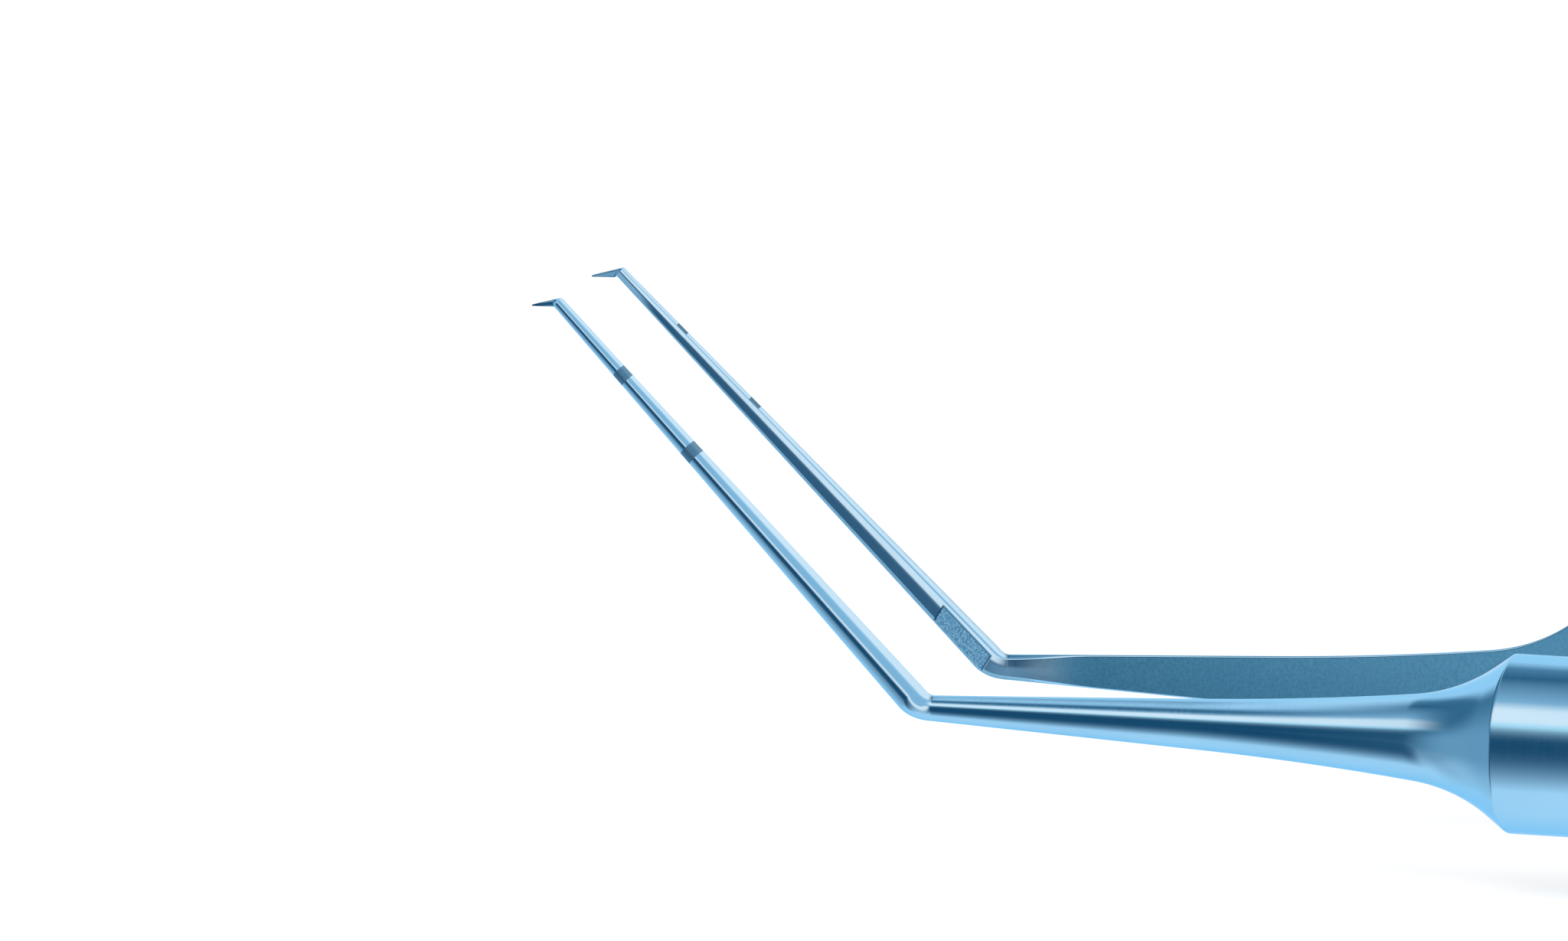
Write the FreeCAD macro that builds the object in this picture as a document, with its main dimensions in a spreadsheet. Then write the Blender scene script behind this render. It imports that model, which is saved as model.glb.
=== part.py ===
import FreeCAD, Part
import math
import os
import Sketcher

# Capsulorhexis forceps with a round spring handle, in millimetres.
# X runs along the handle with the tips at -X and the tail at +X, Y is the
# direction in which the jaws open, and +Z is up. The near arm lies at -Y and the
# far arm at +Y. The forceps lie on a table at Z = 0, the jaws pointing up.
# Every arm is drawn in a frame of its own: origin where the handle axis meets the
# shaft axis, X to the rear, the flat inner face in the XZ plane, metal at -Y.

V = FreeCAD.Vector

SIZES = [
    # alias, size, what it is
    ("overall_length", 110.0, "from the tips to the end of the tail"),
    ("elbow_half_gap", 2.92, "from the middle plane to the flat face at the elbow"),
    ("toe_in", 0.85, "degrees by which each open arm points inwards"),
    ("shaft_rise", 44.8, "degrees between the shaft and the handle axis"),
    ("elbow_cant", 2.55, "degrees by which the elbow's pivot is tipped, to lean the shaft in"),
    ("shaft_length", 13.14, "from the elbow to the bend of the tip"),
    ("shaft_end_radius", 0.143, "half-round section beside the tip"),
    ("elbow_radius", 0.335, "half-round section at the elbow"),
    ("elbow_bend", 0.86, "radius of the elbow along its middle"),
    ("tip_length", 0.686, "from the bend to the point"),
    ("tip_droop", 8.3, "degrees by which the tip points below the handle axis"),
    ("tip_root_radius", 0.10, "half height of the tip at its root"),
    ("tip_point_radius", 0.015, "half height of the blunt point"),
    ("tip_step", 0.17, "how far the tip's platform stands proud of the shaft's face"),
    ("shank_taper", 2.61, "degrees of taper of the shank"),
    ("shank_length", 14.91, "from the elbow to the shoulder of the neck"),
    ("flare_long", 80.0, "radius of the gentle hollow at the start of the flare"),
    ("flare_radius", 4.46, "radius of the hollow before the shoulder"),
    ("flare_join", 2.49, "from the shoulder back to where the two hollows meet"),
    ("neck_radius", 2.167, "half-round neck"),
    ("neck_length", 8.0, "from the shoulder to the swell of the grip"),
    ("swell_length", 3.0, "cone from the neck to the grip"),
    ("grip_radius", 3.4, "half-round grip"),
    ("grip_length", 28.0, "straight grip"),
    ("heel_length", 6.0, "cone from the grip down to the leaf spring"),
    ("heel_radius", 2.2, "half-round end of the heel"),
    ("ring_count", 15, "grooves round the grip"),
    ("ring_pitch", 1.7, "from groove to groove"),
    ("ring_width", 0.9, "groove at the surface"),
    ("ring_floor", 0.4, "groove at its floor"),
    ("ring_depth", 0.3, "depth of a groove"),
    ("leaf_thickness", 0.7, "leaf spring"),
    ("leaf_height", 4.0, "leaf spring, across the handle"),
    ("leaf_anchor", 5.0, "how far the leaf runs into the heel"),
    ("tongue_length", 5.5, "end of the leaf inside the tail"),
    ("leaf_gap", 0.15, "from the middle plane to the leaf at the tail"),
    ("slot_clearance", 0.3, "room beside, above and behind the tongues in the slot"),
    ("tail_length", 12.0, "tail piece"),
    ("tail_radius", 3.4, "barrel of the tail piece"),
    ("tail_nose_radius", 3.0, "front face of the tail piece"),
    ("tail_nose_length", 1.5, "cone at the front of the tail piece"),
    ("tail_dome", 1.4, "rounding of the tail's rear edge"),
    ("rivet_radius", 0.5, "rivets through the tail and both tongues"),
    ("rivet_first", 2.2, "from the mouth of the slot to the first rivet"),
    ("rivet_pitch", 2.2, "from rivet to rivet"),
    ("rivet_sink", 0.06, "how far a rivet's flat end lies below the barrel"),
    ("rivet_fit", 0.02, "room round a rivet in the tail"),
    ("tongue_fit", 0.15, "room round a rivet in a tongue"),
    ("guide_radius", 0.6, "guide pin"),
    ("guide_place", 46.0, "from the elbow to the guide pin"),
    ("guide_seat", 1.6, "depth of the guide pin in the far arm"),
    ("guide_fit", 0.01, "room round the guide pin in its seat"),
    ("guide_reach", 0.7, "depth of the guide pin in the near arm when open"),
    ("guide_clearance", 0.4, "room round the guide pin in the near arm"),
    ("guide_hole_depth", 2.8, "depth of the guide hole"),
    ("platform_start", 0.145, "tying platform on the far shaft, from the elbow"),
    ("platform_length", 1.70, "tying platform along the shaft"),
    ("platform_low", 0.263, "lower edge of the platform from the shaft axis"),
    ("platform_width", 0.41, "platform across the shaft"),
    ("platform_skew", 0.09, "slant of the platform's two ends"),
    ("platform_step", 0.15, "how far the platform stands proud of the shaft's face"),
    ("platform_root", 0.05, "how deep the platform is rooted in the shaft"),
]

doc = FreeCAD.newDocument("capsulorhexis_forceps")


# The sheet of sizes

def make_sheet():
    sheet = doc.addObject("Spreadsheet::Sheet", "Sizes")
    for row, (alias, size, note) in enumerate(SIZES, 1):
        sheet.set("A%d" % row, alias)
        sheet.set("B%d" % row, str(size))
        sheet.set("C%d" % row, note)
        sheet.setAlias("B%d" % row, alias)
    doc.recompute()
    return sheet


sheet = make_sheet()


def size_of(expression):
    """The present value of an expression of sheet sizes."""
    result = sheet.evalExpression(expression)
    return float(getattr(result, "Value", result))


def cell(alias):
    return "Sizes.%s" % alias


# Sizes worked out from the driving ones, as expressions of the sheet's cells

ELBOW_RUN = "(Sizes.elbow_bend * tan(Sizes.shaft_rise / 2))"
SHAFT_END = "(2 * %s - Sizes.shaft_length)" % ELBOW_RUN
TIP_TURN = "(Sizes.shaft_rise + Sizes.tip_droop)"
NECK_START = "Sizes.shank_length"
NECK_END = "(Sizes.shank_length + Sizes.neck_length)"
GRIP_START = "(%s + Sizes.swell_length)" % NECK_END
GRIP_END = "(%s + Sizes.grip_length)" % GRIP_START
HEEL_END = "(%s + Sizes.heel_length)" % GRIP_END
TIP_REACH = ("(Sizes.shaft_length * cos(Sizes.shaft_rise)"
             " + Sizes.tip_length * cos(Sizes.tip_droop))")
ELBOW_PLACE = "(%s - Sizes.overall_length / 2)" % TIP_REACH
AXIS_HEIGHT = "max(Sizes.grip_radius; Sizes.tail_radius)"
MOUTH_PLACE = "(Sizes.overall_length / 2 - Sizes.tail_length)"
LEAF_MIDDLE = "(Sizes.leaf_gap + Sizes.leaf_thickness / 2)"
ARM_SPAN = "(%s - %s)" % (MOUTH_PLACE, ELBOW_PLACE)
INWARD_STEP = "(Sizes.elbow_half_gap - %s)" % LEAF_MIDDLE
GUIDE_PLACE = "(%s + Sizes.guide_place)" % ELBOW_PLACE
GUIDE_FLAT = "(Sizes.elbow_half_gap + Sizes.guide_place * tan(Sizes.toe_in))"
MOUTH_X = "(%s * cos(Sizes.toe_in) - %s * sin(Sizes.toe_in))" % (ARM_SPAN, INWARD_STEP)
MOUTH_Y = "(%s * sin(Sizes.toe_in) + %s * cos(Sizes.toe_in))" % (ARM_SPAN, INWARD_STEP)


# Sketch helpers

def origin_plane(body, role):
    for feature in body.Origin.OriginFeatures:
        if feature.Role == role:
            return feature
    raise ValueError(role)


def new_body(name):
    return doc.addObject("PartDesign::Body", name)


def new_sketch(body, name, role, offset=None):
    sketch = body.newObject("Sketcher::SketchObject", name)
    sketch.AttachmentSupport = [(origin_plane(body, role), "")]
    sketch.MapMode = "FlatFace"
    if offset:
        sketch.setExpression("AttachmentOffset", offset)
    return sketch


def placed(x, y, z, angle="0", axis=("0", "0", "1")):
    """Expression of a placement: a shift and a turn about one axis."""
    return ("create(<<placement>>; create(<<vector>>; %s; %s; %s);"
            " create(<<rotation>>; create(<<vector>>; %s; %s; %s); %s))"
            % ((x, y, z) + axis + (angle,)))


def bind(sketch, constraint, name, expression):
    index = sketch.addConstraint(constraint)
    sketch.renameConstraint(index, name)
    sketch.setExpression("Constraints.%s" % name, expression)


def pin_point(sketch, edge, end, name, x, y):
    """Fixes an end of an edge at x, y, both expressions; a plain "0" stays zero."""
    for axis, kind, text in (("x", "DistanceX", x), ("y", "DistanceY", y)):
        if text == "0":
            on_axis = -2 if axis == "x" else -1
            sketch.addConstraint(Sketcher.Constraint("PointOnObject", edge, end, on_axis))
            continue
        rule = Sketcher.Constraint(kind, -1, 1, edge, end, size_of(text))
        bind(sketch, rule, name + axis, text)


def arc_start(sketch, arc, spot):
    """Which end of an arc, 1 or 2, lies at a spot."""
    return 1 if sketch.getPoint(arc, 1).distanceToPoint(spot) < 1e-6 else 2


def outline(sketch, corners):
    """A closed outline of straight edges through corners given as expressions."""
    spots = [V(size_of(x), size_of(y), 0) for x, y in corners]
    count = len(spots)
    edges = [sketch.addGeometry(Part.LineSegment(spots[i], spots[(i + 1) % count]), False)
             for i in range(count)]
    for i in range(count):
        sketch.addConstraint(Sketcher.Constraint("Coincident", edges[i], 2,
                                                 edges[(i + 1) % count], 1))
    for i, (x, y) in enumerate(corners):
        pin_point(sketch, edges[i], 1, "corner%d" % i, x, y)
    return edges


def half_turn(body, sketch, name, below_axis=False):
    """Revolves a profile half a turn about the sketch's X axis, on the outer side."""
    turn = body.newObject("PartDesign::Revolution", name)
    turn.Profile = sketch
    turn.ReferenceAxis = (sketch, ["H_Axis"])
    turn.Angle = 180
    turn.Reversed = below_axis
    doc.recompute()


# The turned half of an arm: shank, flare, neck, grip and heel

def flare_join(start, shoulder, join_x, slope, gentle, tight):
    """Slope and height where the gentle hollow meets the tight one, as first guesses."""
    low, high = slope, math.radians(80)
    for _ in range(60):
        middle = (low + high) / 2
        flare_start_x = join_x - gentle * (math.sin(middle) - math.sin(slope))
        height = start.y + (flare_start_x - start.x) * math.tan(slope)
        height += gentle * (math.cos(slope) - math.cos(middle))
        end_slope = math.asin(min(math.sin(middle) + (shoulder.x - join_x) / tight, 1))
        reached = height + tight * (math.cos(middle) - math.cos(end_slope))
        if reached < shoulder.y:
            low = middle
        else:
            high = middle
    return middle, height


def hollow_arc(first, last, radius):
    """A hollow arc of a given radius between two points, bulging down and to the rear."""
    chord = last - first
    square = V(chord.y, -chord.x, 0).normalize()
    bow = radius - math.sqrt(radius ** 2 - (chord.Length / 2) ** 2)
    return Part.Arc(first, (first + last) / 2 + square * bow, last)


def turned_half(body):
    sketch = new_sketch(body, "handle_profile", "XZ_Plane")
    start = V(size_of(ELBOW_RUN), size_of(cell("elbow_radius")), 0)
    shoulder = V(size_of(NECK_START), size_of(cell("neck_radius")), 0)
    slope = math.radians(size_of(cell("shank_taper")))
    gentle = size_of(cell("flare_long"))
    tight = size_of(cell("flare_radius"))
    join_x = shoulder.x - size_of(cell("flare_join"))
    join_slope, join_y = flare_join(start, shoulder, join_x, slope, gentle, tight)
    join = V(join_x, join_y, 0)
    flare_start = join - gentle * V(math.sin(join_slope) - math.sin(slope),
                                    math.cos(slope) - math.cos(join_slope), 0)
    taper = sketch.addGeometry(Part.LineSegment(start, flare_start), False)
    hollow = sketch.addGeometry(hollow_arc(flare_start, join, gentle), False)
    shoulder_hollow = sketch.addGeometry(hollow_arc(join, shoulder, tight), False)
    hollow_start = arc_start(sketch, hollow, flare_start)
    join_end = arc_start(sketch, shoulder_hollow, join)
    rear = [(NECK_START, cell("neck_radius")), (NECK_END, cell("neck_radius")),
            (GRIP_START, cell("grip_radius")), (GRIP_END, cell("grip_radius")),
            (HEEL_END, cell("heel_radius")), (HEEL_END, "0"), (ELBOW_RUN, "0"),
            (ELBOW_RUN, cell("elbow_radius"))]
    spots = [V(size_of(x), size_of(y), 0) for x, y in rear]
    edges = [sketch.addGeometry(Part.LineSegment(spots[i], spots[i + 1]), False)
             for i in range(len(spots) - 1)]
    for i in range(len(edges) - 1):
        sketch.addConstraint(Sketcher.Constraint("Coincident", edges[i], 2, edges[i + 1], 1))
    for i, (x, y) in enumerate(rear[:-1]):
        pin_point(sketch, edges[i], 1, "rear%d" % i, x, y)
    pin_point(sketch, edges[-1], 2, "front", *rear[-1])
    sketch.addConstraint(Sketcher.Constraint("Coincident", edges[-1], 2, taper, 1))
    sketch.addConstraint(Sketcher.Constraint("Coincident", edges[0], 1,
                                             shoulder_hollow, 3 - join_end))
    sketch.addConstraint(Sketcher.Constraint("Tangent", taper, 2, hollow, hollow_start))
    sketch.addConstraint(Sketcher.Constraint("Tangent", hollow, 3 - hollow_start,
                                             shoulder_hollow, join_end))
    bind(sketch, Sketcher.Constraint("Radius", hollow, gentle), "gentle", cell("flare_long"))
    bind(sketch, Sketcher.Constraint("Radius", shoulder_hollow, tight), "tight",
         cell("flare_radius"))
    bind(sketch, Sketcher.Constraint("DistanceX", -1, 1, shoulder_hollow, join_end, join_x),
         "join", "Sizes.shank_length - Sizes.flare_join")
    taper_angle = Sketcher.Constraint("Angle", taper, FreeCAD.Units.Quantity(
        "%f deg" % size_of(cell("shank_taper"))))
    bind(sketch, taper_angle, "taper", cell("shank_taper") + " * 1 deg")
    half_turn(body, sketch, "handle_half")


def grip_rings(body):
    sketch = new_sketch(body, "ring_profile", "XZ_Plane")
    rings_span = "(Sizes.ring_count - 1) * Sizes.ring_pitch"
    first = "(%s + (Sizes.grip_length - %s) / 2)" % (GRIP_START, rings_span)
    floor = "(Sizes.grip_radius - Sizes.ring_depth)"
    above = "(Sizes.grip_radius + Sizes.ring_depth)"
    flank = "(Sizes.ring_width - Sizes.ring_floor / 2)"
    outline(sketch, [("%s - %s" % (first, flank), above), ("%s + %s" % (first, flank), above),
                     ("%s + Sizes.ring_floor / 2" % first, floor),
                     ("%s - Sizes.ring_floor / 2" % first, floor)])
    groove = body.newObject("PartDesign::Groove", "ring")
    groove.Profile = sketch
    groove.ReferenceAxis = (sketch, ["H_Axis"])
    groove.Angle = 360
    doc.recompute()
    pattern = body.newObject("PartDesign::LinearPattern", "rings")
    pattern.Originals = [groove]
    pattern.Direction = (sketch, ["H_Axis"])
    pattern.setExpression("Length", rings_span)
    pattern.setExpression("Occurrences", cell("ring_count"))
    body.Tip = pattern
    doc.recompute()


# The elbow, the shaft and the tip

def elbow(body):
    """A half-round section carried round the bend, up and forwards from the shank."""
    sketch = new_sketch(body, "elbow_section", "YZ_Plane",
                        placed("0", "0", ELBOW_RUN))
    radius = size_of(cell("elbow_radius"))
    round_edge = sketch.addGeometry(Part.Arc(V(0, radius, 0), V(-radius, 0, 0),
                                             V(0, -radius, 0)), False)
    upper = arc_start(sketch, round_edge, V(0, radius, 0))
    ends = [sketch.getPoint(round_edge, upper), sketch.getPoint(round_edge, 3 - upper)]
    flat_edge = sketch.addGeometry(Part.LineSegment(ends[0], ends[1]), False)
    sketch.addConstraint(Sketcher.Constraint("Coincident", round_edge, upper, flat_edge, 1))
    sketch.addConstraint(Sketcher.Constraint("Coincident", round_edge, 3 - upper, flat_edge, 2))
    sketch.addConstraint(Sketcher.Constraint("Coincident", round_edge, 3, -1, 1))
    sketch.addConstraint(Sketcher.Constraint("PointOnObject", flat_edge, 1, -2))
    bind(sketch, Sketcher.Constraint("Radius", round_edge, radius), "section",
         cell("elbow_radius"))
    bend_radius = size_of(cell("elbow_bend"))
    pivot = sketch.addGeometry(Part.LineSegment(V(0, bend_radius, 0), V(1, bend_radius, 0)), True)
    pin_point(sketch, pivot, 1, "pivot", "0", cell("elbow_bend"))
    pin_point(sketch, pivot, 2, "cant", "cos(Sizes.elbow_cant)",
              "(Sizes.elbow_bend - sin(Sizes.elbow_cant))")
    bend = body.newObject("PartDesign::Revolution", "elbow")
    bend.Profile = sketch
    bend.ReferenceAxis = (sketch, ["Axis0"])
    bend.setExpression("Angle", cell("shaft_rise"))
    doc.recompute()


def bent_frame():
    """Placement that carries what is drawn straight ahead of the shank round the elbow."""
    pivot = placed(ELBOW_RUN, cell("elbow_bend"), "0")
    turn = placed("0", "0", "0", cell("shaft_rise"),
                  ("0", "-sin(Sizes.elbow_cant)", "-cos(Sizes.elbow_cant)"))
    back = placed("-" + ELBOW_RUN, "-Sizes.elbow_bend", "0")
    return "%s * %s * %s" % (pivot, turn, back)


def shaft(body):
    """Slim half-round rod whose upper end is rounded over."""
    sketch = new_sketch(body, "shaft_profile", "XZ_Plane", bent_frame())
    corners = [(ELBOW_RUN, "0"), (ELBOW_RUN, cell("elbow_radius")),
               (SHAFT_END, cell("shaft_end_radius")),
               ("(%s - Sizes.shaft_end_radius)" % SHAFT_END, "0")]
    spots = [V(size_of(x), size_of(y), 0) for x, y in corners]
    root = sketch.addGeometry(Part.LineSegment(spots[0], spots[1]), False)
    side = sketch.addGeometry(Part.LineSegment(spots[1], spots[2]), False)
    bulge = size_of(cell("shaft_end_radius")) * math.sqrt(0.5)
    crown = V(size_of(SHAFT_END) - bulge, bulge, 0)
    cap = sketch.addGeometry(Part.Arc(spots[2], crown, spots[3]), False)
    axis = sketch.addGeometry(Part.LineSegment(spots[3], spots[0]), False)
    cap_start = arc_start(sketch, cap, spots[2])
    sketch.addConstraint(Sketcher.Constraint("Coincident", root, 2, side, 1))
    sketch.addConstraint(Sketcher.Constraint("Coincident", side, 2, cap, cap_start))
    sketch.addConstraint(Sketcher.Constraint("Coincident", cap, 3 - cap_start, axis, 1))
    sketch.addConstraint(Sketcher.Constraint("Coincident", axis, 2, root, 1))
    pin_point(sketch, root, 1, "root", *corners[0])
    pin_point(sketch, side, 1, "lower", *corners[1])
    pin_point(sketch, side, 2, "upper", *corners[2])
    sketch.addConstraint(Sketcher.Constraint("PointOnObject", axis, 1, -1))
    sketch.addConstraint(Sketcher.Constraint("PointOnObject", cap, 3, -1))
    bind(sketch, Sketcher.Constraint("DistanceX", -1, 1, cap, 3, size_of(SHAFT_END)),
         "cap", SHAFT_END)
    half_turn(body, sketch, "shaft")


def tip(body):
    """Half-round outside, with a flat platform that stands proud on the inside."""
    place = "%s * %s" % (bent_frame(), placed(SHAFT_END, "0", "0", TIP_TURN))
    root = cell("tip_root_radius")
    point = cell("tip_point_radius")
    length = "-Sizes.tip_length"
    profile = new_sketch(body, "tip_profile", "XZ_Plane", place)
    outline(profile, [("0", "0"), ("0", root), (length, point), (length, "0")])
    half_turn(body, profile, "tip_back")
    face = new_sketch(body, "tip_face", "XZ_Plane", place)
    outline(face, [("0", "-%s" % root), ("0", root), (length, point), (length, "-%s" % point)])
    block = body.newObject("PartDesign::Pad", "tip_platform")
    block.Profile = face
    block.setExpression("Length", cell("tip_step"))
    block.Reversed = True
    doc.recompute()


# The leaf spring at the rear of an arm: an S of two equal arcs

def leaf(body):
    middle = "(-Sizes.leaf_thickness / 2)"
    run = "(%s - %s)" % (MOUTH_X, HEEL_END)
    drop = "(%s - %s)" % (MOUTH_Y, middle)
    bend = "((%s ^ 2 + %s ^ 2) / (4 * %s))" % (run, drop, drop)
    sketch = new_sketch(body, "leaf_plan", "XY_Plane")
    front = "(%s - Sizes.leaf_anchor)" % HEEL_END
    rear = "(%s + Sizes.tongue_length)" % MOUTH_X

    def side(sign, name):
        shift = "%s Sizes.leaf_thickness / 2" % sign
        first = (HEEL_END, "(%s %s)" % (middle, shift))
        last = (MOUTH_X, "(%s %s)" % (MOUTH_Y, shift))
        a = V(size_of(first[0]), size_of(first[1]), 0)
        c = V(size_of(last[0]), size_of(last[1]), 0)
        b = (a + c) / 2
        bow = size_of(drop) / 8
        outer = "(%s %s)" % (bend, "- Sizes.leaf_thickness / 2" if sign == "+"
                             else "+ Sizes.leaf_thickness / 2")
        arc_a = sketch.addGeometry(Part.Arc(a, (a + b) / 2 - V(0, bow, 0), b), False)
        arc_b = sketch.addGeometry(Part.Arc(b, (b + c) / 2 + V(0, bow, 0), c), False)
        a_start = arc_start(sketch, arc_a, a)
        b_start = arc_start(sketch, arc_b, b)
        pin_point(sketch, arc_a, a_start, name + "_heel", *first)
        pin_point(sketch, arc_b, 3 - b_start, name + "_mouth", *last)
        bind(sketch, Sketcher.Constraint("DistanceX", -1, 1, arc_a, 3, a.x),
             name + "_turn_a", first[0])
        bind(sketch, Sketcher.Constraint("DistanceX", -1, 1, arc_b, 3, c.x),
             name + "_turn_b", last[0])
        sketch.addConstraint(Sketcher.Constraint("Tangent", arc_a, 3 - a_start,
                                                 arc_b, b_start))
        bind(sketch, Sketcher.Constraint("Radius", arc_a, size_of(outer)),
             name + "_bend", outer)
        return (arc_a, a_start), (arc_b, 3 - b_start), first[1], last[1]

    inner = side("+", "inner")
    outer = side("-", "outer")

    def end_loop(x, low, high, low_y, high_y, name):
        spots = [V(size_of(x), size_of(low_y), 0), V(size_of(x), size_of(high_y), 0)]
        start = sketch.getPoint(*low)
        finish = sketch.getPoint(*high)
        edges = [sketch.addGeometry(Part.LineSegment(start, spots[0]), False),
                 sketch.addGeometry(Part.LineSegment(spots[0], spots[1]), False),
                 sketch.addGeometry(Part.LineSegment(spots[1], finish), False)]
        sketch.addConstraint(Sketcher.Constraint("Coincident", low[0], low[1], edges[0], 1))
        sketch.addConstraint(Sketcher.Constraint("Coincident", edges[0], 2, edges[1], 1))
        sketch.addConstraint(Sketcher.Constraint("Coincident", edges[1], 2, edges[2], 1))
        sketch.addConstraint(Sketcher.Constraint("Coincident", edges[2], 2, high[0], high[1]))
        pin_point(sketch, edges[1], 1, name + "_low", x, low_y)
        pin_point(sketch, edges[1], 2, name + "_high", x, high_y)

    end_loop(front, outer[0], inner[0], outer[2], inner[2], "anchor")
    end_loop(rear, outer[1], inner[1], outer[3], inner[3], "tongue")
    strip = body.newObject("PartDesign::Pad", "leaf")
    strip.Profile = sketch
    strip.setExpression("Length", cell("leaf_height"))
    strip.SideType = "Symmetric"
    doc.recompute()


def rivet_holes(body):
    """Holes through the tongue, along Y."""
    sketch = new_sketch(body, "tongue_holes", "XZ_Plane")
    for i in range(2):
        place = "(%s + Sizes.rivet_first + %d * Sizes.rivet_pitch)" % (MOUTH_X, i)
        radius = "(Sizes.rivet_radius + Sizes.tongue_fit)"
        hole = sketch.addGeometry(Part.Circle(V(size_of(place), 0, 0), V(0, 0, 1),
                                              size_of(radius)), False)
        pin_point(sketch, hole, 3, "hole%d" % i, place, "0")
        bind(sketch, Sketcher.Constraint("Radius", hole, size_of(radius)), "bore%d" % i, radius)
    cut = body.newObject("PartDesign::Pocket", "tongue_bores")
    cut.Profile = sketch
    cut.SideType = "Symmetric"
    cut.Type = "ThroughAll"
    doc.recompute()


# One arm as it comes off the machine

def make_arm_blank():
    body = new_body("arm_blank")
    turned_half(body)
    grip_rings(body)
    elbow(body)
    shaft(body)
    tip(body)
    leaf(body)
    rivet_holes(body)
    body.setExpression("Placement", placed(ELBOW_PLACE, "-Sizes.elbow_half_gap", AXIS_HEIGHT,
                                           "-Sizes.toe_in"))
    doc.recompute()
    return body


# The guide pin of the far arm and its holes, along Y

def cross_rod(name, radius, start, end, x, z=AXIS_HEIGHT):
    """A round rod along Y from start to end, all given as expressions."""
    rod = doc.addObject("Part::Cylinder", name)
    rod.setExpression("Radius", radius)
    rod.setExpression("Height", "(%s) - (%s)" % (end, start))
    rod.setExpression("Placement", placed(x, start, z, "-90", ("1", "0", "0")))
    return rod


def cut(name, base, tool):
    result = doc.addObject("Part::Cut", name)
    result.Base = base
    result.Tool = tool
    return result


def fuse(name, shapes):
    result = doc.addObject("Part::MultiFuse", name)
    result.Shapes = shapes
    return result


def make_guide_pin():
    return cross_rod("guide_pin", cell("guide_radius"),
                     "-%s - Sizes.guide_reach" % GUIDE_FLAT,
                     "%s + Sizes.guide_seat" % GUIDE_FLAT, GUIDE_PLACE)


def make_near_arm(blank):
    hole = cross_rod("guide_hole", "Sizes.guide_radius + Sizes.guide_clearance",
                     "-%s - Sizes.guide_hole_depth" % GUIDE_FLAT, "0", GUIDE_PLACE)
    return cut("near_arm", blank, hole)


# The tying platform: a raised slanted pad low on the far shaft

def make_platform():
    body = new_body("platform")
    sketch = new_sketch(body, "platform_face", "XZ_Plane", bent_frame())
    start = "(2 * %s - Sizes.platform_start)" % ELBOW_RUN
    low_end = "(%s - Sizes.platform_length)" % start
    high_start = "(%s - Sizes.platform_skew)" % start
    high_end = "(%s - Sizes.platform_skew)" % low_end
    low = "-Sizes.platform_low"
    high = "(Sizes.platform_width - Sizes.platform_low)"
    outline(sketch, [(start, low), (high_start, high), (high_end, high), (low_end, low)])
    pad = body.newObject("PartDesign::Pad", "platform_pad")
    pad.Profile = sketch
    pad.setExpression("Length", cell("platform_root"))
    pad.SideType = "Two sides"
    pad.setExpression("Length2", cell("platform_step"))
    body.setExpression("Placement", placed(ELBOW_PLACE, "-Sizes.elbow_half_gap", AXIS_HEIGHT,
                                           "-Sizes.toe_in"))
    doc.recompute()
    return body


def mirrored(name, source):
    twin = doc.addObject("Part::Mirroring", name)
    twin.Source = source
    twin.Normal = V(0, 1, 0)
    return twin


def make_far_arm(blank):
    with_platform = fuse("far_arm_mirrored", [blank, make_platform()])
    twin = mirrored("far_arm_blank", with_platform)
    seat = cross_rod("guide_seat", "Sizes.guide_radius + Sizes.guide_fit", "0",
                     "%s + Sizes.guide_seat" % GUIDE_FLAT, GUIDE_PLACE)
    return cut("far_arm", twin, seat)


# The tail piece, with a mortise for both tongues, and the rivets that hold them

def make_tail():
    body = new_body("tail")
    profile = new_sketch(body, "tail_profile", "XZ_Plane")
    outline(profile, [("0", "0"), ("0", cell("tail_nose_radius")),
                      (cell("tail_nose_length"), cell("tail_radius")),
                      (cell("tail_length"), cell("tail_radius")),
                      (cell("tail_length"), "0")])
    turn = body.newObject("PartDesign::Revolution", "barrel")
    turn.Profile = profile
    turn.ReferenceAxis = (profile, ["H_Axis"])
    turn.Angle = 360
    doc.recompute()
    rim = [name for name, edge in named_edges(turn.Shape)
           if edge.BoundBox.XMin > size_of(cell("tail_length")) - 0.01
           and edge.BoundBox.ZLength > size_of(cell("tail_radius"))]
    dome = body.newObject("PartDesign::Fillet", "dome")
    dome.Base = (turn, rim)
    dome.setExpression("Radius", cell("tail_dome"))
    doc.recompute()
    plan = new_sketch(body, "mortise_plan", "XY_Plane")
    side = "(Sizes.leaf_gap + Sizes.leaf_thickness + Sizes.slot_clearance)"
    depth = "(Sizes.tongue_length + Sizes.slot_clearance)"
    outline(plan, [("0", "-" + side), ("0", side), (depth, side), (depth, "-" + side)])
    mortise = body.newObject("PartDesign::Pocket", "mortise")
    mortise.Profile = plan
    mortise.SideType = "Symmetric"
    mortise.setExpression("Length", "Sizes.leaf_height + 2 * Sizes.slot_clearance")
    doc.recompute()
    face = new_sketch(body, "tail_holes", "XZ_Plane")
    radius = "(Sizes.rivet_radius + Sizes.rivet_fit)"
    for i in range(2):
        place = "(Sizes.rivet_first + %d * Sizes.rivet_pitch)" % i
        hole = face.addGeometry(Part.Circle(V(size_of(place), 0, 0), V(0, 0, 1),
                                            size_of(radius)), False)
        pin_point(face, hole, 3, "hole%d" % i, place, "0")
        bind(face, Sketcher.Constraint("Radius", hole, size_of(radius)), "bore%d" % i, radius)
    bores = body.newObject("PartDesign::Pocket", "rivet_bores")
    bores.Profile = face
    bores.SideType = "Symmetric"
    bores.Type = "ThroughAll"
    body.setExpression("Placement", placed(MOUTH_PLACE, "0", AXIS_HEIGHT))
    doc.recompute()
    return body


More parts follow.
